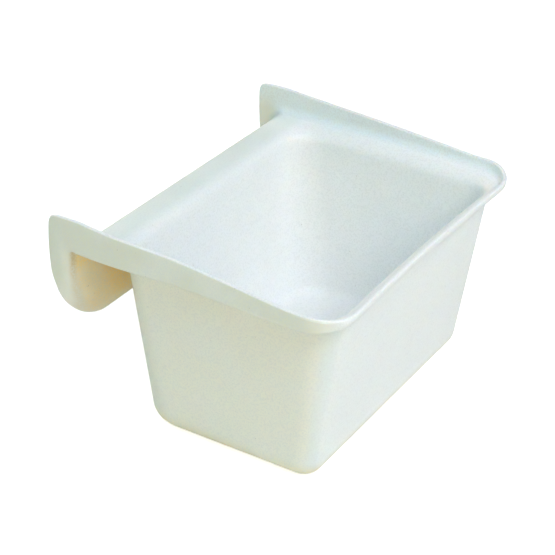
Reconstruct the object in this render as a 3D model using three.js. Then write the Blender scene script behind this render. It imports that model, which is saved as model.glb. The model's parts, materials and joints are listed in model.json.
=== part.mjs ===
// Hook-over feed trough: one moulded sheet of white plastic, closed round an open-topped tub.
//
// The sheet starts in the middle of the floor and runs outwards, ring by ring: floor, base fillet,
// drafted wall, rounded rim, flat flange, and a collar that stands up round the flange. Behind the
// tub the flange is a wide shelf that bends down into a lip, and the collar follows it round the
// bend, so the trough hangs over a rail or a half door.
//
// Every ring is first laid out with the flange flat (x across, s from front to back, n upwards).
// bend() then wraps whatever lies beyond the shelf's back edge down into the lip.
//
// Millimetres. +Z up, the front faces -Y and the hook is at +Y. The origin is the centre of the
// base's underside.
import * as THREE from 'three';

// Sheet. Levels and outlines below are those of the sheet's middle surface.
const WALL = 4.2;
const FLOOR_LEVEL = WALL / 2;
const FLANGE_LEVEL = 187;

// Tub: the wall's outline at the flange and at the floor, before rounding.
const OPENING = { side: 169.5, front: 117, back: 120.5, frontCorner: 30, backCorner: 34 };
const BASE = { side: 157.5, front: 95.5, back: 95.5, frontCorner: 18, backCorner: 39 };
const BASE_FILLET = 16;
const RIM_RADIUS = { side: 12.5, front: 5, back: 14 };
const FRONT_BOW = 3;
const FRONT_BOW_HALF_WIDTH = 145;

// Flange, shelf and lip.
const HALF_WIDTH = 192;
const FRONT_REACH = 128;
const COLLAR_CORNER = 33;
const SHELF_END = 144;
const SHELF_BEND = 9;
const LIP_DROP = 57;
const LIP_CORNER = 45;
const LIP_HEM = 6;

// Collar: it turns up from the flange, and its top edge climbs from the front to the wings.
const COLLAR_BEND = { side: 10.5, front: 5.5, back: 9 };
const COLLAR_LEAN = THREE.MathUtils.degToRad(1);
const COLLAR_HEIGHT = { front: 9.5, knee: 20.8, wing: 27.2 };
const KNEE_AT = 54;
const KNEE_SOFTNESS = 22;
const WING_BACK = 174;
const WING_LEAN = 3;
const WING_SQUARENESS = 10;
const WING_TAPER = { depth: 17, height: 62, power: 2.5 };

// Along the sides the collar is rounded inside but nearly square outside, and the square corner
// hangs a little below the flange.
const CORNER_SQUARENESS = 16;
const CORNER_DROP = 2;

// The side rims lean inwards by these angles at these places, and hold the last one behind them.
const ROLL = [
  { s: -95, degrees: 3 },
  { s: 30, degrees: 8 },
  { s: 115, degrees: 3 },
  { s: 165, degrees: 5 },
];
const ROLL_WIDTH = 17;

// How finely each stretch is divided.
const STATIONS = { front: 4, frontCorner: 7, side: 12, bend: 8, hook: 1, backCorner: 7, back: 3 };
const STEPS = { fillet: 4, wall: 2, rim: 4, shelf: 1, bend: 5, lip: 1, turn: 4, edge: 3 };

const QUARTER = Math.PI / 2;
const bendLength = SHELF_BEND * QUARTER;
const bendEnd = SHELF_END + bendLength;
const lipEnd = bendEnd + LIP_DROP;
const tubHeight = FLANGE_LEVEL - FLOOR_LEVEL;

const mix = THREE.MathUtils.lerp;
const ease = (k) => THREE.MathUtils.smoothstep(k, 0, 1);
const upTo = (count) => Array.from({ length: count }, (_, i) => (i + 1) / count);
const eachSide = (value) => ({ side: value('side'), front: value('front'), back: value('back') });

const draft = eachSide((part) => Math.atan((OPENING[part] - BASE[part]) / tubHeight));

// The collar starts here: the flange's outline less the radius of its bend.
const FLANGE = {
  side: HALF_WIDTH - COLLAR_BEND.side,
  front: FRONT_REACH - COLLAR_BEND.front,
  back: lipEnd,
  frontCorner: COLLAR_CORNER - COLLAR_BEND.front,
  backCorner: LIP_CORNER,
};

// Fractions along a side at which the stations stand, crowded where the shelf bends.
function sideFractions() {
  const start = -(FLANGE.front - FLANGE.frontCorner);
  const length = FLANGE.back - FLANGE.backCorner - start;
  const bendStarts = (SHELF_END - start) / length;
  const bendEnds = (bendEnd - start) / length;
  return [
    ...upTo(STATIONS.side).map((k) => k * bendStarts),
    ...upTo(STATIONS.bend).map((k) => mix(bendStarts, bendEnds, k)),
    ...upTo(STATIONS.hook).map((k) => mix(bendEnds, 1, k)),
  ];
}

// Stations from the middle of the front, round the -X side, to the middle of the back.
function halfStations() {
  const all = [{ part: 'front', k: 0 }];
  const add = (part, fractions) => fractions.forEach((k) => all.push({ part, k }));
  add('front', upTo(STATIONS.front));
  add('frontCorner', upTo(STATIONS.frontCorner));
  add('side', sideFractions());
  add('backCorner', upTo(STATIONS.backCorner));
  add('back', upTo(STATIONS.back));
  return all;
}

// A value that differs between front, sides and back, eased round the corners.
function valueAt(station, values) {
  const { part, k } = station;
  if (part === 'frontCorner') return mix(values.front, values.side, ease(k));
  if (part === 'backCorner') return mix(values.side, values.back, ease(k));
  return values[part];
}

// Where a station falls on a rounded-rectangle outline, with the outline's outward direction.
function onOutline(station, outline) {
  const { part, k } = station;
  const { side, front, back, frontCorner, backCorner } = outline;
  const turn = k * QUARTER;
  const place = (x, s, outX, outS) => ({ x, s, outX, outS });
  if (part === 'front') return place(-(side - frontCorner) * k, -front, 0, -1);
  if (part === 'back') return place(-(side - backCorner) * (1 - k), back, 0, 1);
  if (part === 'side') return place(-side, mix(frontCorner - front, back - backCorner, k), -1, 0);
  if (part === 'frontCorner') {
    const outX = -Math.sin(turn);
    const outS = -Math.cos(turn);
    return place(frontCorner - side + frontCorner * outX, frontCorner - front + frontCorner * outS, outX, outS);
  }
  const outX = -Math.cos(turn);
  const outS = Math.sin(turn);
  return place(backCorner - side + backCorner * outX, back - backCorner + backCorner * outS, outX, outS);
}

// One ring of the middle surface: for each station its place, outward direction, height and slope.
function ring(stations, outline, heights, slopes) {
  return stations.map((station) => ({
    ...onOutline(station, outline),
    n: valueAt(station, heights),
    slope: valueAt(station, slopes),
  }));
}

const sameAllRound = (value) => ({ side: value, front: value, back: value });

function filletRing(stations, k) {
  const slopes = eachSide((part) => k * (QUARTER - draft[part]));
  const inset = (part) => {
    const tangent = BASE_FILLET * Math.tan((QUARTER - draft[part]) / 2);
    return BASE_FILLET * Math.sin(slopes[part]) - tangent;
  };
  const outline = {
    ...eachSide((part) => BASE[part] + inset(part)),
    frontCorner: BASE.frontCorner + inset('front'),
    backCorner: BASE.backCorner + inset('back'),
  };
  const heights = eachSide((part) => FLOOR_LEVEL + BASE_FILLET * (1 - Math.cos(slopes[part])));
  return { outline, heights, slopes, points: ring(stations, outline, heights, slopes) };
}

function rimRing(stations, k) {
  const slopes = eachSide((part) => k * (QUARTER - draft[part]));
  const reach = (part) => {
    const tangent = RIM_RADIUS[part] * Math.tan((QUARTER - draft[part]) / 2);
    return OPENING[part] + tangent - RIM_RADIUS[part] * Math.sin(slopes[part]);
  };
  const outline = { ...OPENING, ...eachSide(reach) };
  const heights = eachSide((part) => FLANGE_LEVEL - RIM_RADIUS[part] * (1 - Math.cos(slopes[part])));
  return { outline, heights, slopes, points: ring(stations, outline, heights, slopes) };
}

function between(stations, from, to, k) {
  const blend = (a, b) => Object.fromEntries(Object.keys(a).map((key) => [key, mix(a[key], b[key], k)]));
  return ring(stations, blend(from.outline, to.outline), blend(from.heights, to.heights), to.slopes);
}

// The flange's rings are spaced so that, behind the tub, several of them fall in the bend.
function flangeFractions(from) {
  const at = (s) => (s - from.outline.back) / (FLANGE.back - from.outline.back);
  return [
    ...upTo(STEPS.shelf).map((k) => k * at(SHELF_END)),
    ...upTo(STEPS.bend).map((k) => mix(at(SHELF_END), at(bendEnd), k)),
    ...upTo(STEPS.lip).map((k) => mix(at(bendEnd), 1, k)),
  ];
}

// Height of the collar's top edge above the flange, at a place along the side: two straight
// slopes that meet in a soft knee.
function collarTop(s) {
  const frontEnd = -(FRONT_REACH - COLLAR_CORNER);
  const lowSlope = (COLLAR_HEIGHT.knee - COLLAR_HEIGHT.front) / (KNEE_AT - frontEnd);
  const highSlope = (COLLAR_HEIGHT.wing - COLLAR_HEIGHT.knee) / (SHELF_END - KNEE_AT);
  const past = s - KNEE_AT;
  const softened = (Math.hypot(past, KNEE_SOFTNESS) - past) / 2;
  return COLLAR_HEIGHT.knee + highSlope * past + (highSlope - lowSlope) * softened;
}

// How far the collar stands off the flange, the bend or the lip, measured square to the sheet.
function collarReach(s) {
  const back = WING_BACK - SHELF_END;
  if (s <= SHELF_END) return collarTop(s);
  if (s <= bendEnd) {
    const turn = (s - SHELF_END) / SHELF_BEND;
    const up = (Math.cos(turn) / (collarTop(SHELF_END) + SHELF_BEND)) ** WING_SQUARENESS;
    const out = (Math.sin(turn) / (back + WING_LEAN * Math.cos(turn))) ** WING_SQUARENESS;
    return (up + out) ** (-1 / WING_SQUARENESS) - SHELF_BEND;
  }
  const below = (s - bendEnd + SHELF_BEND) / WING_TAPER.height;
  return back - SHELF_BEND - WING_TAPER.depth * below ** WING_TAPER.power;
}

// What the square corner adds to the outer skin, part of the way round the collar's turn: so much
// thickness square to the sheet, and so much straight down. It fades out over the shelf's bend.
function cornerExtra(station, s, along) {
  const alongSide = valueAt(station, { side: 1, front: 0, back: 0 });
  const amount = alongSide * (1 - THREE.MathUtils.smoothstep(s, SHELF_END, bendEnd));
  const turn = Math.min(along, 1) * QUARTER;
  const sum = Math.cos(turn) ** CORNER_SQUARENESS + Math.sin(turn) ** CORNER_SQUARENESS;
  const bulge = sum ** (-1 / CORNER_SQUARENESS) - 1;
  const middle = ease(1 - Math.abs(2 * turn / QUARTER - 1));
  return {
    thicker: amount * bulge * (valueAt(station, COLLAR_BEND) + WALL / 2),
    drop: amount * middle * CORNER_DROP,
  };
}

// The collar's section at one station: an arc of fixed length that turns through the fold angle,
// then a straight to the edge. Round the lip's corners the fold opens out until it lies flat.
function collarPoint(station, along) {
  const { x, s, outX, outS } = onOutline(station, FLANGE);
  const upright = QUARTER - COLLAR_LEAN;
  const fold = Math.max(valueAt(station, { side: upright, front: upright, back: 0 }), 1e-3);
  const bendRadius = valueAt(station, COLLAR_BEND);
  const radius = (bendRadius * QUARTER) / fold;
  const hem = station.part === 'back' || station.part === 'backCorner' ? LIP_HEM : 0;
  const straight = station.part === 'back' ? LIP_HEM : Math.max(collarReach(s) - bendRadius, hem);
  const turned = fold * Math.min(along, 1);
  const run = straight * Math.max(along - 1, 0);
  const out = radius * Math.sin(turned) + run * Math.cos(turned);
  const up = radius * (1 - Math.cos(turned)) + run * Math.sin(turned);
  const place = { x: x + outX * out, s: s + outS * out, outX, outS, n: FLANGE_LEVEL + up, slope: turned };
  return { ...place, ...cornerExtra(station, s, along) };
}

// The front leans in slightly at mid-width, most at the rim and not at all at the floor.
function bowed(point) {
  const across = Math.max(1 - (point.x / FRONT_BOW_HALF_WIDTH) ** 2, 0);
  const forward = THREE.MathUtils.smoothstep(-point.s, 20, 110);
  const height = THREE.MathUtils.clamp((point.n - FLOOR_LEVEL) / tubHeight, 0, 1);
  return { ...point, s: point.s + FRONT_BOW * across * forward * height ** 2 };
}

function rollAngle(s) {
  const next = ROLL.findIndex((place) => place.s > s);
  if (next <= 0) return ROLL.at(next).degrees;
  const [from, to] = ROLL.slice(next - 1, next + 1);
  return mix(from.degrees, to.degrees, THREE.MathUtils.smoothstep(s, from.s, to.s));
}

// Turns what lies beyond the tub's side walls inwards about the flange line, easing the turn in.
function rolled(x, s, n) {
  const beyond = Math.abs(x) - OPENING.side;
  const eased = THREE.MathUtils.smoothstep(beyond, -ROLL_WIDTH / 3, (2 * ROLL_WIDTH) / 3);
  const angle = THREE.MathUtils.degToRad(rollAngle(s)) * eased;
  const above = n - FLANGE_LEVEL;
  const out = OPENING.side + beyond * Math.cos(angle) - above * Math.sin(angle);
  return [Math.sign(x) * out, s, FLANGE_LEVEL + above * Math.cos(angle) + beyond * Math.sin(angle)];
}

// Wraps the flat layout over the bend: shelf, then bend, then lip.
function bend(x, s, n) {
  const above = n - FLANGE_LEVEL;
  if (s <= SHELF_END) return new THREE.Vector3(x, s, n);
  const turn = Math.min((s - SHELF_END) / SHELF_BEND, QUARTER);
  const down = Math.max(s - bendEnd, 0);
  const radius = SHELF_BEND + above;
  return new THREE.Vector3(
    x,
    SHELF_END + radius * Math.sin(turn),
    FLANGE_LEVEL - SHELF_BEND + radius * Math.cos(turn) - down,
  );
}

// A ring of the sheet's skin. angle 0 is the inner skin, pi the outer one, and the angles between
// go round the collar's edge.
function skin(points, angle) {
  const outer = angle === Math.PI;
  const beyond = (WALL / 2) * Math.sin(angle);
  const half = points.map((point) => {
    const { x, s, n, outX, outS, slope, thicker = 0, drop = 0 } = bowed(point);
    const across = (WALL / 2) * Math.cos(angle) - (outer ? thicker : 0);
    const out = beyond * Math.cos(slope) - across * Math.sin(slope);
    const up = beyond * Math.sin(slope) + across * Math.cos(slope) - (outer ? drop : 0);
    return bend(...rolled(x + outX * out, s + outS * out, n + up));
  });
  const mirrored = half.slice(1, -1).reverse().map((v) => new THREE.Vector3(-v.x, v.y, v.z));
  return [...half, ...mirrored];
}

// Closed body through a stack of rings, with a fan at each end.
function loft(rings) {
  const around = rings[0].length;
  const centre = (points) => points.reduce((sum, v) => sum.add(v), new THREE.Vector3()).divideScalar(around);
  const vertices = [...rings.flat(), centre(rings[0]), centre(rings.at(-1))];
  const firstCentre = vertices.length - 2;
  const lastCentre = vertices.length - 1;
  const lastRing = (rings.length - 1) * around;
  const faces = [];
  for (let i = 0; i < around; i++) {
    const next = (i + 1) % around;
    for (let r = 0; r < rings.length - 1; r++) {
      const row = r * around;
      const above = row + around;
      faces.push(row + i, above + next, above + i);
      faces.push(row + i, row + next, above + next);
    }
    faces.push(firstCentre, next, i);
    faces.push(lastCentre, lastRing + i, lastRing + next);
  }
  const geometry = new THREE.BufferGeometry().setFromPoints(vertices);
  geometry.setIndex(faces);
  geometry.computeVertexNormals();
  return geometry;
}

function troughGeometry() {
  const stations = halfStations();
  const fillets = [0, ...upTo(STEPS.fillet)].map((k) => filletRing(stations, k));
  const rims = [0, ...upTo(STEPS.rim)].map((k) => rimRing(stations, 1 - k));
  const wallFoot = fillets.at(-1);
  const wallHead = rims[0];
  const flangeStart = rims.at(-1);
  const flange = { outline: FLANGE, heights: sameAllRound(FLANGE_LEVEL), slopes: sameAllRound(0) };
  const sheet = [
    ...fillets.map((f) => f.points),
    ...upTo(STEPS.wall).slice(0, -1).map((k) => between(stations, wallFoot, wallHead, k)),
    ...rims.map((r) => r.points),
    ...flangeFractions(flangeStart).map((k) => between(stations, flangeStart, flange, k)),
    ...[...upTo(STEPS.turn), 2].map((along) => stations.map((station) => collarPoint(station, along))),
  ];
  const edge = upTo(STEPS.edge).slice(0, -1).map((k) => skin(sheet.at(-1), k * Math.PI));
  return loft([
    ...sheet.map((points) => skin(points, 0)),
    ...edge,
    ...sheet.toReversed().map((points) => skin(points, Math.PI)),
  ]);
}

const plastic = new THREE.MeshStandardMaterial({ color: 0xe8edea, roughness: 0.42, metalness: 0 });

const trough = new THREE.Mesh(troughGeometry(), plastic);
trough.name = 'hook_over_trough';

const feedTrough = new THREE.Group();
feedTrough.add(trough);

export default feedTrough;
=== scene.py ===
"""Hook-over feed trough: the fine moulded shell, its plastic, and a plain studio round it.

The frame gives the levels of the floor and the shelf and the place of the lip; the other sizes are
the CAD's own. The CAD trough is replaced by the same moulding at full fineness: one sheet that
starts in the middle of the floor and runs outwards, ring by ring, over fillet, wall, rim, flange
and collar. Rings are laid out with the flange flat (x across, s from front to back, n up), and
wrap() then bends whatever lies beyond the shelf down into the lip. Metres throughout.
"""
import json
import math

import bpy
import numpy as np
from mathutils import Matrix, Vector


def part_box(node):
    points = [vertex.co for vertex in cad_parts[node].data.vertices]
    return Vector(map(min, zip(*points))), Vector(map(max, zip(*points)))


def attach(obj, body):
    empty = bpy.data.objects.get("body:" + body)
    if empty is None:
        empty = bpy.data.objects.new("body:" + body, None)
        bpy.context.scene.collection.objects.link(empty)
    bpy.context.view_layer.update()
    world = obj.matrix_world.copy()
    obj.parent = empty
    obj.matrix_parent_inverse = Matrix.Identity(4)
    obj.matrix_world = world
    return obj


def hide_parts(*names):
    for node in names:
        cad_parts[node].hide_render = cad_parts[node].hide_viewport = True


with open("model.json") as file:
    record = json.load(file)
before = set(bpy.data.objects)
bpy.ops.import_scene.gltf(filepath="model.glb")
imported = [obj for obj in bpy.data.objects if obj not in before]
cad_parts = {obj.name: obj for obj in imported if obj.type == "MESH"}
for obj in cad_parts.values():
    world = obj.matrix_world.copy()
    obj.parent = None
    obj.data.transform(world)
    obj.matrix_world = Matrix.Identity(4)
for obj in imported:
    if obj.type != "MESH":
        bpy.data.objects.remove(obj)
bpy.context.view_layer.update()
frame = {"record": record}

MM = 0.001
QUARTER = math.pi / 2
NODE = "hook_over_trough"

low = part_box(NODE)[0]
mounts = {m["name"]: m for m in frame["record"]["mounts"]}

# Sheet, as in the CAD. Levels and outlines below belong to its middle surface.
WALL = 4.2 * MM
FLOOR_LEVEL = low.z + WALL / 2
FLANGE_LEVEL = mounts["hook_seat"]["pos_m"][2] + WALL / 2
LIP_PLANE = mounts["lip_face"]["pos_m"][1] + WALL / 2
TUB_HEIGHT = FLANGE_LEVEL - FLOOR_LEVEL

# Tub.
OPENING = {"side": 169.5 * MM, "front": 117 * MM, "back": 120.5 * MM,
           "front_corner": 30 * MM, "back_corner": 34 * MM}
BASE = {"side": 157.5 * MM, "front": 95.5 * MM, "back": 95.5 * MM,
        "front_corner": 18 * MM, "back_corner": 39 * MM}
BASE_FILLET = 16 * MM
RIM_RADIUS = {"side": 12.5 * MM, "front": 5 * MM, "back": 14 * MM}

# The front wall sinks in at the middle. The bow grows over BOW_FADE, forwards from BOW_START.
FRONT_BOW = 3 * MM
BOW_HALF_WIDTH = 145 * MM
BOW_START, BOW_FADE = -20 * MM, 90 * MM

# Flange, shelf and lip.
HALF_WIDTH = 192 * MM
FRONT_REACH = 128 * MM
COLLAR_CORNER = 33 * MM
SHELF_BEND = 9 * MM
SHELF_END = LIP_PLANE - SHELF_BEND
LIP_DROP = 57 * MM
LIP_CORNER = 45 * MM
LIP_HEM = 6 * MM
BEND_LENGTH = SHELF_BEND * QUARTER
BEND_END = SHELF_END + BEND_LENGTH

# Collar. A squareness is the power of a superellipse: 2 is round, and more is squarer.
COLLAR_BEND = {"side": 10.5 * MM, "front": 5.5 * MM, "back": 9 * MM}
COLLAR_LEAN = math.radians(1)
COLLAR_FOLD = {"side": QUARTER - COLLAR_LEAN, "front": QUARTER - COLLAR_LEAN, "back": 0.0}
LEAST_FOLD = 1e-3
COLLAR_FRONT, COLLAR_KNEE, COLLAR_WING = 9.5 * MM, 20.8 * MM, 27.2 * MM
KNEE_AT = 54 * MM
KNEE_SOFTNESS = 22 * MM
WING_BACK = 174 * MM
WING_SQUARENESS = 10
WING_LEAN = 3 * MM
WING_TAPER_DEPTH, WING_TAPER_HEIGHT, WING_TAPER_POWER = 17 * MM, 62 * MM, 2.5
CORNER_SQUARENESS = 16
CORNER_DROP = 2 * MM
EDGE_SQUARENESS = 4

# How many degrees the side rims lean inwards, at places from front to back.
ROLLS = ((-95 * MM, 3), (30 * MM, 8), (115 * MM, 3), (165 * MM, 5))
ROLL_WIDTH = 17 * MM
ROLL_INSIDE = ROLL_WIDTH / 3

PARTS = ("side", "front", "back")
DRAFT = {p: math.atan((OPENING[p] - BASE[p]) / TUB_HEIGHT) for p in PARTS}
FLANGE = {"side": HALF_WIDTH - COLLAR_BEND["side"], "front": FRONT_REACH - COLLAR_BEND["front"],
          "back": BEND_END + LIP_DROP,
          "front_corner": COLLAR_CORNER - COLLAR_BEND["front"], "back_corner": LIP_CORNER}

# Fineness: stations round half a ring, and rings across each stretch of the sheet.
STATIONS = {"front": 18, "front_corner": 16, "side": 34, "bend": 24, "hook": 6,
            "back_corner": 20, "back": 12}
FLOOR_STEPS, FILLET_STEPS, WALL_STEPS, RIM_STEPS = 10, 10, 22, 12
SHELF_STEPS, BEND_STEPS, LIP_STEPS = 5, 14, 16
TURN_STEPS, COLLAR_STEPS, EDGE_STEPS = 16, 8, 8


def ease(k):
    return k * k * (3 - 2 * k)


def steps(count):
    """Even fractions of the way, ending at 1."""
    return [(i + 1) / count for i in range(count)]


class Stations:
    """The places round half a ring, from the middle of the front to the middle of the back."""

    def __init__(self):
        start = FLANGE["front_corner"] - FLANGE["front"]
        length = FLANGE["back"] - FLANGE["back_corner"] - start
        bend_from, bend_to = (SHELF_END - start) / length, (BEND_END - start) / length
        side = ([k * bend_from for k in steps(STATIONS["side"])]
                + [bend_from + (bend_to - bend_from) * k for k in steps(STATIONS["bend"])]
                + [bend_to + (1 - bend_to) * k for k in steps(STATIONS["hook"])])
        listed = [("front", 0.0)]
        listed += [("front", k) for k in steps(STATIONS["front"])]
        listed += [("front_corner", k) for k in steps(STATIONS["front_corner"])]
        listed += [("side", k) for k in side]
        listed += [("back_corner", k) for k in steps(STATIONS["back_corner"])]
        listed += [("back", k) for k in steps(STATIONS["back"])]
        self.part = np.array([part for part, _ in listed])
        self.k = np.array([k for _, k in listed])

    def values(self, of):
        """A value that differs between front, sides and back, eased round the corners."""
        k = ease(self.k)
        return np.select(
            [self.part == "front", self.part == "front_corner", self.part == "side",
             self.part == "back_corner"],
            [of["front"] + 0 * k, of["front"] + (of["side"] - of["front"]) * k, of["side"] + 0 * k,
             of["side"] + (of["back"] - of["side"]) * k],
            of["back"] + 0 * k)

    def place(self, outline):
        """x, s and the outward direction of each station on a rounded-rectangle outline."""
        side, front, back = outline["side"], outline["front"], outline["back"]
        fore, aft = outline["front_corner"], outline["back_corner"]
        k, turn = self.k, self.k * QUARTER
        zero, one = 0 * k, 0 * k + 1
        table = {
            "front": (-(side - fore) * k, -front * one, zero, -one),
            "front_corner": (fore - side - fore * np.sin(turn), fore - front - fore * np.cos(turn),
                             -np.sin(turn), -np.cos(turn)),
            "side": (-side * one, fore - front + (back - aft - fore + front) * k, -one, zero),
            "back_corner": (aft - side - aft * np.cos(turn), back - aft + aft * np.sin(turn),
                            -np.cos(turn), np.sin(turn)),
            "back": (-(side - aft) * (1 - k), back * one, zero, one),
        }
        masks = [self.part == name for name in table]
        return [np.select(masks, [row[i] for row in table.values()]) for i in range(4)]


stations = Stations()


def ring(outline, heights, slopes):
    """A ring of the middle surface. Its slope is 0 where the sheet lies flat and a quarter turn
    where it stands."""
    x, s, out_x, out_s = stations.place(outline)
    return {"x": x, "s": s, "out_x": out_x, "out_s": out_s,
            "n": stations.values(heights), "slope": stations.values(slopes)}


def fillet_profile(k):
    """Outline, heights and slopes part of the way up the fillet, from floor to wall."""
    slopes = {p: k * (QUARTER - DRAFT[p]) for p in PARTS}
    inset = {p: BASE_FILLET * (math.sin(slopes[p]) - math.tan((QUARTER - DRAFT[p]) / 2))
             for p in PARTS}
    outline = {p: BASE[p] + inset[p] for p in PARTS}
    outline["front_corner"] = BASE["front_corner"] + inset["front"]
    outline["back_corner"] = BASE["back_corner"] + inset["back"]
    heights = {p: FLOOR_LEVEL + BASE_FILLET * (1 - math.cos(slopes[p])) for p in PARTS}
    return outline, heights, slopes


def rim_profile(k):
    """Outline, heights and slopes part of the way down the rim, from flange to wall."""
    slopes = {p: k * (QUARTER - DRAFT[p]) for p in PARTS}
    outline = dict(OPENING)
    for p in PARTS:
        tangent = math.tan((QUARTER - DRAFT[p]) / 2)
        outline[p] = OPENING[p] + RIM_RADIUS[p] * (tangent - math.sin(slopes[p]))
    heights = {p: FLANGE_LEVEL - RIM_RADIUS[p] * (1 - math.cos(slopes[p])) for p in PARTS}
    return outline, heights, slopes


def between(start, end, k):
    """A ring on the straight stretch from one profile to another, with the second one's slopes."""
    outline, heights = ({key: a[key] + (b[key] - a[key]) * k for key in a}
                        for a, b in zip(start[:2], end[:2]))
    return ring(outline, heights, end[2])


def floor_rings(edge):
    """Rings that shrink towards the middle of the floor."""
    outline, heights, slopes = edge
    return [ring({key: size * k for key, size in outline.items()}, heights, slopes)
            for k in steps(FLOOR_STEPS)[:-1]]


def flange_fractions(start):
    """How far out the flange's rings lie, spaced to suit the shelf, the bend and the lip."""
    inner = start[0]["back"]
    shelf_end, bend_end = ((s - inner) / (FLANGE["back"] - inner) for s in (SHELF_END, BEND_END))
    return ([k * shelf_end for k in steps(SHELF_STEPS)]
            + [shelf_end + (bend_end - shelf_end) * k for k in steps(BEND_STEPS)]
            + [bend_end + (1 - bend_end) * k for k in steps(LIP_STEPS)])


def collar_top(s):
    """Height of the collar ahead of the bend: two straight slopes with a soft knee between."""
    front_end = COLLAR_CORNER - FRONT_REACH
    low_slope = (COLLAR_KNEE - COLLAR_FRONT) / (KNEE_AT - front_end)
    high_slope = (COLLAR_WING - COLLAR_KNEE) / (SHELF_END - KNEE_AT)
    past = s - KNEE_AT
    softened = (np.hypot(past, KNEE_SOFTNESS) - past) / 2
    return COLLAR_KNEE + high_slope * past + (high_slope - low_slope) * softened


def collar_reach(s):
    """How far the collar stands off the flange, the bend or the lip, square to the sheet."""
    back = WING_BACK - SHELF_END
    turn = np.clip((s - SHELF_END) / SHELF_BEND, 0, QUARTER)
    up = (np.cos(turn) / (collar_top(SHELF_END) + SHELF_BEND)) ** WING_SQUARENESS
    out = (np.sin(turn) / (back + WING_LEAN * np.cos(turn))) ** WING_SQUARENESS
    round_bend = (up + out) ** (-1 / WING_SQUARENESS) - SHELF_BEND
    below = np.maximum(s - BEND_END + SHELF_BEND, 0) / WING_TAPER_HEIGHT
    down_lip = back - SHELF_BEND - WING_TAPER_DEPTH * below ** WING_TAPER_POWER
    return np.where(s <= SHELF_END, collar_top(s), np.where(s <= BEND_END, round_bend, down_lip))


def collar_straight(s, bend):
    """Length of the collar beyond its turn. Across the back only the lip's hem is left of it."""
    hem = np.where(np.isin(stations.part, ("back", "back_corner")), LIP_HEM, 0.0)
    straight = np.maximum(collar_reach(s) - bend, hem)
    return np.where(stations.part == "back", LIP_HEM, straight)


def beside_tub(s):
    """1 along the sides, eased to 0 round the front corners and round the bend."""
    sides = stations.values({"side": 1.0, "front": 0.0, "back": 0.0})
    return sides * (1 - ease(np.clip((s - SHELF_END) / BEND_LENGTH, 0, 1)))


def corner_excess(turn):
    """How much further out the collar's outer corner lies than a round turn, as a share of it."""
    rounded = abs(math.cos(turn)) ** CORNER_SQUARENESS + math.sin(turn) ** CORNER_SQUARENESS
    return rounded ** (-1 / CORNER_SQUARENESS) - 1


def collar_ring(along):
    """along runs from 0 to 1 through the turn, and from 1 to 2 up to the edge."""
    x, s, out_x, out_s = stations.place(FLANGE)
    fold = np.maximum(stations.values(COLLAR_FOLD), LEAST_FOLD)
    bend = stations.values(COLLAR_BEND)
    share = min(along, 1)
    radius = bend * QUARTER / fold
    turned = fold * share
    run = collar_straight(s, bend) * max(along - 1, 0)
    out = radius * np.sin(turned) + run * np.cos(turned)
    up = radius * (1 - np.cos(turned)) + run * np.sin(turned)
    thicker = (bend + WALL / 2) * corner_excess(share * QUARTER) * beside_tub(s)
    drop = CORNER_DROP * beside_tub(s) * ease(1 - abs(share - 0.5) * 2)
    return {"x": x + out_x * out, "s": s + out_s * out, "out_x": out_x, "out_s": out_s,
            "n": FLANGE_LEVEL + up, "slope": turned, "thicker": thicker, "drop": drop}


def bowed(points):
    """Sinks the front wall in, most at its middle and at the top."""
    across = np.maximum(1 - (points["x"] / BOW_HALF_WIDTH) ** 2, 0)
    forward = ease(np.clip((BOW_START - points["s"]) / BOW_FADE, 0, 1))
    height = np.clip((points["n"] - FLOOR_LEVEL) / TUB_HEIGHT, 0, 1)
    return {**points, "s": points["s"] + FRONT_BOW * across * forward * height ** 2}


def roll_angle(s):
    """The rims' lean in radians, eased from each place in ROLLS to the next."""
    angle = np.full(len(s), float(ROLLS[0][1]))
    for (start, before), (end, after) in zip(ROLLS, ROLLS[1:]):
        k = ease(np.clip((s - start) / (end - start), 0, 1))
        angle = np.where(s > start, before + (after - before) * k, angle)
    return np.radians(angle)


def rolled(x, s, n):
    """The side rims roll inwards, most half way along, as long rims do when a moulding cools."""
    beyond = np.abs(x) - OPENING["side"]
    angle = roll_angle(s) * ease(np.clip((beyond + ROLL_INSIDE) / ROLL_WIDTH, 0, 1))
    above = n - FLANGE_LEVEL
    out = OPENING["side"] + beyond * np.cos(angle) - above * np.sin(angle)
    return np.sign(x) * out, s, FLANGE_LEVEL + above * np.cos(angle) + beyond * np.sin(angle)


def wrap(x, s, n):
    """Bends the flat layout: shelf, then bend, then lip."""
    turn = np.clip((s - SHELF_END) / SHELF_BEND, 0, QUARTER)
    radius = SHELF_BEND + n - FLANGE_LEVEL
    down = np.maximum(s - BEND_END, 0)
    y = np.where(s <= SHELF_END, s, SHELF_END + radius * np.sin(turn))
    z = np.where(s <= SHELF_END, n, FLANGE_LEVEL - SHELF_BEND + radius * np.cos(turn) - down)
    return np.stack([x, y, z], 1)


def skin(points, angle):
    """A closed ring of the sheet's skin: 0 is the inner skin, pi the outer, and between them lies
    the rounded edge."""
    points = bowed(points)
    round_edge = abs(math.cos(angle)) ** EDGE_SQUARENESS + math.sin(angle) ** EDGE_SQUARENESS
    reach = WALL / 2 * round_edge ** (-1 / EDGE_SQUARENESS)
    across, beyond = reach * math.cos(angle), reach * math.sin(angle)
    outer = angle == math.pi
    if outer:
        across = across - points.get("thicker", 0)
    slope = points["slope"]
    out = beyond * np.cos(slope) - across * np.sin(slope)
    up = beyond * np.sin(slope) + across * np.cos(slope)
    if outer:
        up = up - points.get("drop", 0)
    half = wrap(*rolled(points["x"] + points["out_x"] * out, points["s"] + points["out_s"] * out,
                        points["n"] + up))
    mirrored = half[-2:0:-1] * (-1, 1, 1)
    return np.concatenate([half, mirrored])


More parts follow.
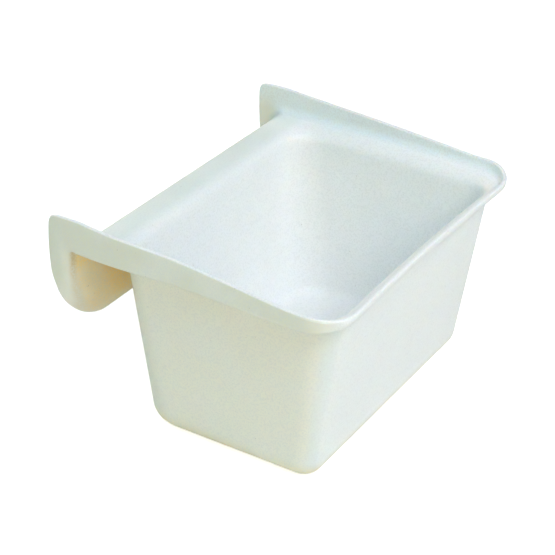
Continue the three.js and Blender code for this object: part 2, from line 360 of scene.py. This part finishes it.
def sheet_rings():
    """The middle surface, from the middle of the floor out to the collar's edge."""
    fillets = [fillet_profile(k) for k in [0] + steps(FILLET_STEPS)]
    rims = [rim_profile(1 - k) for k in [0] + steps(RIM_STEPS)]
    flange = (FLANGE, {p: FLANGE_LEVEL for p in PARTS}, {p: 0.0 for p in PARTS})
    rings = floor_rings(fillets[0])
    rings += [ring(*f) for f in fillets]
    rings += [between(fillets[-1], rims[0], k) for k in steps(WALL_STEPS)[:-1]]
    rings += [ring(*r) for r in rims]
    rings += [between(rims[-1], flange, k) for k in flange_fractions(rims[-1])]
    rings += [collar_ring(k) for k in steps(TURN_STEPS)]
    rings += [collar_ring(1 + k) for k in steps(COLLAR_STEPS)]
    return rings


def shell_mesh(name):
    """The closed shell: inner skin outwards, round the edge, and back along the outer skin.

    The point attribute skin is 0 on the inner skin, 1 on the outer, and rises round the edge.
    """
    sheet = sheet_rings()
    turns = [(points, 0.0) for points in sheet]
    turns += [(sheet[-1], k) for k in steps(EDGE_STEPS)[:-1]]
    turns += [(points, 1.0) for points in reversed(sheet)]
    rings = [skin(points, k * math.pi) for points, k in turns]
    around = len(rings[0])
    vertices = np.concatenate(rings + [[rings[0].mean(0)], [rings[-1].mean(0)]])
    first_centre, last_centre = len(vertices) - 2, len(vertices) - 1
    last_row = (len(rings) - 1) * around
    faces = []
    for i in range(around):
        j = (i + 1) % around
        for row in range(0, last_row, around):
            faces.append((row + i, row + j, row + around + j, row + around + i))
        faces.append((first_centre, j, i))
        faces.append((last_centre, last_row + i, last_row + j))
    mesh = bpy.data.meshes.new(name)
    mesh.from_pydata(vertices.tolist(), [], faces)
    mesh.shade_smooth()
    side = mesh.attributes.new("skin", "FLOAT", "POINT")
    values = np.repeat([k for _, k in turns], around).tolist() + [0.0, 1.0]
    side.data.foreach_set("value", values)
    return mesh


class Graph:
    """A material's node graph, with short ways to add the nodes used here."""

    def __init__(self, name):
        self.material = bpy.data.materials.new(name)
        self.material.use_nodes = True
        self.nodes = self.material.node_tree.nodes
        self.links = self.material.node_tree.links
        self.shader = self.nodes["Principled BSDF"].inputs

    def feed(self, socket, value):
        """Links a socket to another, or sets it. Three numbers for a colour are made opaque."""
        if isinstance(value, bpy.types.NodeSocket):
            self.links.new(value, socket)
        elif socket.type == "RGBA":
            socket.default_value = (*value, 1)
        else:
            socket.default_value = value

    def place(self):
        """Position in the object's own frame, in metres."""
        return self.nodes.new("ShaderNodeTexCoord").outputs["Object"]

    def normal(self):
        return self.nodes.new("ShaderNodeNewGeometry").outputs["Normal"]

    def noise(self, size, detail):
        """Smooth noise from 0 to 1 with patches of about the given size in metres."""
        node = self.nodes.new("ShaderNodeTexNoise")
        self.feed(node.inputs["Vector"], self.place())
        node.inputs["Scale"].default_value = 1 / size
        node.inputs["Detail"].default_value = detail
        return node.outputs["Fac"]

    def attribute(self, name):
        """A number stored on the mesh's points."""
        node = self.nodes.new("ShaderNodeAttribute")
        node.attribute_name = name
        return node.outputs["Fac"]

    def maths(self, operation, *values):
        node = self.nodes.new("ShaderNodeMath")
        node.operation = operation
        for socket, value in zip(node.inputs, values):
            self.feed(socket, value)
        return node.outputs[0]

    def product(self, first, *others):
        for other in others:
            first = self.maths("MULTIPLY", first, other)
        return first

    def ramp(self, value, from_low, from_high, to_low=0.0, to_high=1.0):
        """Maps a value from one range to another, held at the ends and eased between them."""
        node = self.nodes.new("ShaderNodeMapRange")
        node.interpolation_type = "SMOOTHSTEP"
        for socket, number in zip(node.inputs, (value, from_low, from_high, to_low, to_high)):
            self.feed(socket, number)
        return node.outputs["Result"]

    def axes(self, vector):
        node = self.nodes.new("ShaderNodeSeparateXYZ")
        self.feed(node.inputs[0], vector)
        return node.outputs

    def tint(self, colour, other, amount):
        """Moves a colour towards another: 0 leaves it, and 1 replaces it."""
        node = self.nodes.new("ShaderNodeMix")
        node.data_type = "RGBA"
        self.feed(node.inputs["Factor"], amount)
        self.feed(node.inputs["A"], colour)
        self.feed(node.inputs["B"], other)
        return node.outputs["Result"]

    def bump(self, height, strength, distance):
        node = self.nodes.new("ShaderNodeBump")
        node.inputs["Strength"].default_value = strength
        node.inputs["Distance"].default_value = distance
        self.feed(node.inputs["Height"], height)
        return node.outputs["Normal"]


# Linear colours: each skin's, with painted light in them (the inner brighter and cooler, the outer
# darker), then what they are tinted towards in some places: painted light and shade, and last random
# tone.
# Both skins are one plastic: the inner one's colour is lifted by painted bounce light, and the outer
# one's is lowered by painted shade.
INNER_SKIN_AND_BOUNCE_LIGHT, OUTER_SKIN_AND_SHADE = (0.935, 0.958, 0.962), (0.890, 0.928, 0.918)
# Painted warm shade on the outer skin's sides.
SIDE_WALL_WARM_SHADE = (0.905, 0.908, 0.825)
# Painted shade at the outer front corners.
FRONT_CORNER_SHADE = (0.780, 0.880, 0.890)
# Painted warm shade on the collar's outer face.
COLLAR_OUTSIDE_SHADE = (0.815, 0.825, 0.720)
# Painted tan shade in the hook's throat, lengthways and sideways.
THROAT_SHADE_LENGTHWAYS, THROAT_SHADE_SIDEWAYS = (0.980, 0.760, 0.330), (0.640, 0.540, 0.310)
# Painted shade on the shelf's top towards its bend.
SHELF_SHADE = (0.800, 0.875, 0.810)
# Painted cool shade on the collar's inner face.
COLLAR_INSIDE_COOL_SHADE = (0.880, 0.970, 0.990)
# Painted warm bounce light on the outer skin near the base.
BASE_EDGE_WARM_BOUNCE = (0.860, 0.770, 0.500)
# Painted shade on the wings' inner faces.
WING_INSIDE_SHADE = (0.850, 0.760, 0.560)
# A painted highlight round the sheet's edge.
EDGE_HIGHLIGHT = (0.970, 0.985, 0.980)
MOTTLE, PEEL = (0.900, 0.920, 0.890), (0.86, 0.87, 0.84)
GRAIN, SPECK = (0.78, 0.81, 0.80), (0.42, 0.40, 0.34)

# Sizes of the fine texture's patches.
MOTTLE_SIZE, PEEL_SIZE, GRAIN_SIZE, SPECK_SIZE = 45 * MM, 2.4 * MM, 1.8 * MM, 2 * MM

# Fades: a mask is 0 at the first number and 1 at the second. Where two more numbers follow, it
# goes between those instead. These go by the share of the normal that points sideways.
FACES_SIDEWAYS, FACES_LENGTHWAYS = (0.4, 0.92), (0.85, 0.55)
OFF_LENGTHWAYS, OFF_SIDEWAYS = (0.3, 0.6), (0.95, 0.75)
THROAT_TURNS = (0.05, 0.5)
# These go by y, from front to back.
TOWARDS_FRONT = (0, -60 * MM, 0, 0.5)
BEHIND_TUB = (BASE["back"] + 2.5 * MM, BASE["back"] + 10.5 * MM)
ON_SHELF = (LIP_PLANE - 37 * MM, LIP_PLANE - 23 * MM, 0, 0.8)
PAST_RIM = (LIP_PLANE - 27 * MM, LIP_PLANE - 19 * MM)
ON_WING = (LIP_PLANE - 3 * MM, LIP_PLANE + 15 * MM, 0, 0.5)
# These go by z, the height.
NEAR_BASE = (22 * MM, 3 * MM, 0, 0.9)
OVER_LIP_FOOT = (FLANGE_LEVEL - 97 * MM, FLANGE_LEVEL - 77 * MM)
UNDER_FLANGE = (FLANGE_LEVEL + 1 * MM, FLANGE_LEVEL - 3 * MM)
OVER_FLANGE = (FLANGE_LEVEL - 4 * MM, FLANGE_LEVEL - 1 * MM)
AT_SHELF = (FLANGE_LEVEL - 37 * MM, FLANGE_LEVEL - 7 * MM)
OVER_SHELF = (FLANGE_LEVEL + 1 * MM, FLANGE_LEVEL + 8 * MM)
BELOW_WING_TOP = (FLANGE_LEVEL + 25 * MM, FLANGE_LEVEL + 3 * MM)
# These go by the skin attribute, and the last by its distance from half way round the edge.
ON_INNER_SKIN = (0.5, 0.0)
ON_EDGE = (0.45, 0.25, 0, 0.9)
# These go by noise.
MOTTLED, PEELED = (0.4, 0.7, 0, 0.5), (0.52, 0.78, 0, 0.25)
GRAINY, SPECKED = (0.42, 0.66, 0, 0.5), (0.86, 0.90, 0, 0.5)
ROUGHNESS = (0.3, 0.7, 0.42, 0.54)

SOAK_WEIGHT, SOAK_DEPTH, SOAK_BY_COLOUR = 0.6, 3 * MM, (1.0, 0.8, 0.6)
BUMP_STRENGTH, BUMP_HEIGHT = 0.35, 0.08 * MM


def outside_colour(g, outer, position, sideways):
    """Both skins, and then painted shade on the outer one: yellower on its sides and collar, darker at
    the front corners, and tan in the hook.
    """
    side_warm_shade = g.product(outer, g.ramp(sideways, *FACES_SIDEWAYS))
    corner_shade = g.product(outer, g.ramp(sideways, *OFF_LENGTHWAYS), g.ramp(sideways, *OFF_SIDEWAYS),
                        g.ramp(position["Y"], *TOWARDS_FRONT))
    standing = g.maths("MAXIMUM", g.ramp(position["Z"], *OVER_FLANGE), g.ramp(position["Y"], *PAST_RIM))
    throat_shade = g.product(outer, g.ramp(sideways, *FACES_LENGTHWAYS), g.ramp(position["Y"], *BEHIND_TUB),
                       g.ramp(position["Z"], *UNDER_FLANGE), g.ramp(position["Z"], *OVER_LIP_FOOT))
    tan = g.tint(THROAT_SHADE_LENGTHWAYS, THROAT_SHADE_SIDEWAYS, g.ramp(sideways, *THROAT_TURNS))
    colour = g.tint(INNER_SKIN_AND_BOUNCE_LIGHT, OUTER_SKIN_AND_SHADE, outer)
    colour = g.tint(colour, SIDE_WALL_WARM_SHADE, side_warm_shade)
    colour = g.tint(colour, FRONT_CORNER_SHADE, corner_shade)
    colour = g.tint(colour, COLLAR_OUTSIDE_SHADE, g.product(side_warm_shade, standing))
    return g.tint(colour, tan, throat_shade)


def inside_colour(g, colour, outer, position):
    """Paints shade on the shelf's top, cool shade on the collar's inside, warm bounce light on the
    base's outer edge and shade on the wings' inside.
    """
    inner = g.ramp(outer, *ON_INNER_SKIN)
    shelf_shade = g.product(inner, g.ramp(position["Y"], *ON_SHELF), g.ramp(position["Z"], *AT_SHELF))
    wing_shade = g.product(inner, g.ramp(position["Y"], *ON_WING), g.ramp(position["Z"], *BELOW_WING_TOP))
    colour = g.tint(colour, SHELF_SHADE, shelf_shade)
    colour = g.tint(colour, COLLAR_INSIDE_COOL_SHADE, g.product(inner, g.ramp(position["Z"], *OVER_SHELF)))
    colour = g.tint(colour, BASE_EDGE_WARM_BOUNCE, g.product(outer, g.ramp(position["Z"], *NEAR_BASE)))
    return g.tint(colour, WING_INSIDE_SHADE, wing_shade)


def fine_colour(g, colour, outer, mottle, peel):
    """Cloudy patches, a painted highlight round the sheet's edge, and then peel, grain and a few dark
    specks.
    """
    from_edge = g.maths("ABSOLUTE", g.maths("SUBTRACT", outer, 0.5))
    colour = g.tint(colour, MOTTLE, g.ramp(mottle, *MOTTLED))
    colour = g.tint(colour, EDGE_HIGHLIGHT, g.ramp(from_edge, *ON_EDGE))
    colour = g.tint(colour, PEEL, g.ramp(peel, *PEELED))
    colour = g.tint(colour, GRAIN, g.ramp(g.noise(GRAIN_SIZE, detail=2), *GRAINY))
    return g.tint(colour, SPECK, g.ramp(g.noise(SPECK_SIZE, detail=0), *SPECKED))


def plastic():
    """Milky polythene: light soaks in a few millimetres, red deepest, so thin lit walls glow warm."""
    g = Graph("satin_polythene")
    outer = g.attribute("skin")
    position = g.axes(g.place())
    sideways = g.maths("ABSOLUTE", g.axes(g.normal())["X"])
    mottle = g.noise(MOTTLE_SIZE, detail=3)
    peel = g.noise(PEEL_SIZE, detail=2)
    colour = outside_colour(g, outer, position, sideways)
    colour = inside_colour(g, colour, outer, position)
    colour = fine_colour(g, colour, outer, mottle, peel)
    g.feed(g.shader["Base Color"], colour)
    g.feed(g.shader["Roughness"], g.ramp(mottle, *ROUGHNESS))
    g.feed(g.shader["Normal"], g.bump(peel, BUMP_STRENGTH, BUMP_HEIGHT))
    g.feed(g.shader["Subsurface Weight"], SOAK_WEIGHT)
    g.feed(g.shader["Subsurface Radius"], SOAK_BY_COLOUR)
    g.feed(g.shader["Subsurface Scale"], SOAK_DEPTH)
    return g.material


FLOOR_SIZE = 12
FLOOR_GAP = 0.2 * MM
FLOOR_PAPER, FLOOR_ROUGHNESS = (0.93, 0.92, 0.90), 0.9
FLOOR_SEEN, FLOOR_SEEN_GLOW = (1.0, 1.0, 1.0), 0.7
FLOOR_WARMTH, FLOOR_WARM_GLOW = (1.0, 0.77, 0.0), 0.035


def studio_floor():
    """A pale floor just under the base. What the camera sees of it is lifted to near white, as on
    a lit table, and it throws a faint warm light back up."""
    bpy.ops.mesh.primitive_plane_add(size=FLOOR_SIZE, location=(0, 0, -FLOOR_GAP))
    floor = bpy.context.object
    floor.name = "studio_floor"
    g = Graph("floor_paper")
    seen = g.nodes.new("ShaderNodeLightPath").outputs["Is Camera Ray"]
    g.feed(g.shader["Base Color"], FLOOR_PAPER)
    g.feed(g.shader["Roughness"], FLOOR_ROUGHNESS)
    g.feed(g.shader["Specular IOR Level"], 0)
    g.feed(g.shader["Emission Color"], g.tint(FLOOR_WARMTH, FLOOR_SEEN, seen))
    g.feed(g.shader["Emission Strength"], g.ramp(seen, 0, 1, FLOOR_WARM_GLOW, FLOOR_SEEN_GLOW))
    floor.data.materials.append(g.material)


def towards(azimuth, elevation):
    """Unit vector at an azimuth from the front, positive to the right, and a height, in degrees."""
    a, e = math.radians(azimuth), math.radians(elevation)
    return Vector((math.sin(a) * math.cos(e), -math.cos(a) * math.cos(e), math.sin(e)))


# Lamps stand round the trough at one distance: name, azimuth, elevation, and the red, green and
# blue strengths in watts. The strengths weren't chosen by hand: a separate script fitted them, by
# least squares, to the shading of the photographed trough.
LIT_POINT = Vector((0, 0.02, 0.1))
LIGHT_SIZE, LIGHT_DISTANCE = 1.2, 2.6
LIGHTS = (
    ("key", -15, 50, (28.8, 30.2, 34.6)),
    ("key_low", -15, 25, (0.0, 0.0, 0.5)),
    ("right_high", 30, 50, (13.6, 12.4, 11.4)),
    ("right_low", 45, 25, (0.0, 3.0, 3.8)),
    ("camera_low", -60, 25, (13.6, 11.9, 6.6)),
    ("camera_high", -60, 50, (6.9, 8.5, 10.0)),
    ("left_side", -105, 25, (0.0, 0.6, 0.0)),
    ("rear_left_low", -150, 25, (6.4, 7.7, 7.0)),
    ("rear_left_high", -150, 50, (2.9, 7.1, 10.1)),
    ("rear_right", 150, 25, (24.7, 21.4, 16.5)),
    ("top", 0, 85, (1.2, 0.6, 0.1)),
)


def area_light(name, azimuth, elevation, watts):
    """An area light that faces the trough."""
    data = bpy.data.lights.new(name, "AREA")
    data.size = LIGHT_SIZE
    data.energy = max(watts)
    data.color = [w / max(watts) for w in watts]
    light = bpy.data.objects.new(name, data)
    direction = towards(azimuth, elevation)
    light.location = LIT_POINT + direction * LIGHT_DISTANCE
    light.rotation_euler = direction.to_track_quat("Z", "Y").to_euler()
    bpy.context.scene.collection.objects.link(light)


# Camera: its angles in degrees, the point it looks at and how far off that is, and its lens in
# millimetres. The shift is a share of the picture's width.
VIEW_AZIMUTH, VIEW_ELEVATION, VIEW_ROLL = -60.85, 29.53, 3.0
VIEW_DISTANCE = 1.7315
VIEW_POINT = Vector((-0.0298, 0.0203, 0.1251))
SENSOR_WIDTH, LENS, LENS_SHIFT = 36, 114, -0.00234234


def camera():
    back = towards(VIEW_AZIMUTH, VIEW_ELEVATION)
    data = bpy.data.cameras.new("camera")
    data.sensor_width = SENSOR_WIDTH
    data.lens = LENS
    data.shift_x = LENS_SHIFT
    cam = bpy.data.objects.new("camera", data)
    roll = Matrix.Rotation(math.radians(VIEW_ROLL), 3, "Z")
    rotation = back.to_track_quat("Z", "Y").to_matrix() @ roll
    cam.matrix_world = Matrix.Translation(VIEW_POINT + back * VIEW_DISTANCE) @ rotation.to_4x4()
    bpy.context.scene.collection.objects.link(cam)
    bpy.context.scene.camera = cam


shell = bpy.data.objects.new("moulded_shell", shell_mesh("moulded_shell"))
bpy.context.scene.collection.objects.link(shell)
shell.data.materials.append(plastic())
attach(shell, "root")
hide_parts(NODE)

studio_floor()
for spec in LIGHTS:
    area_light(*spec)
bpy.context.scene.view_settings.view_transform = "Standard"
camera()
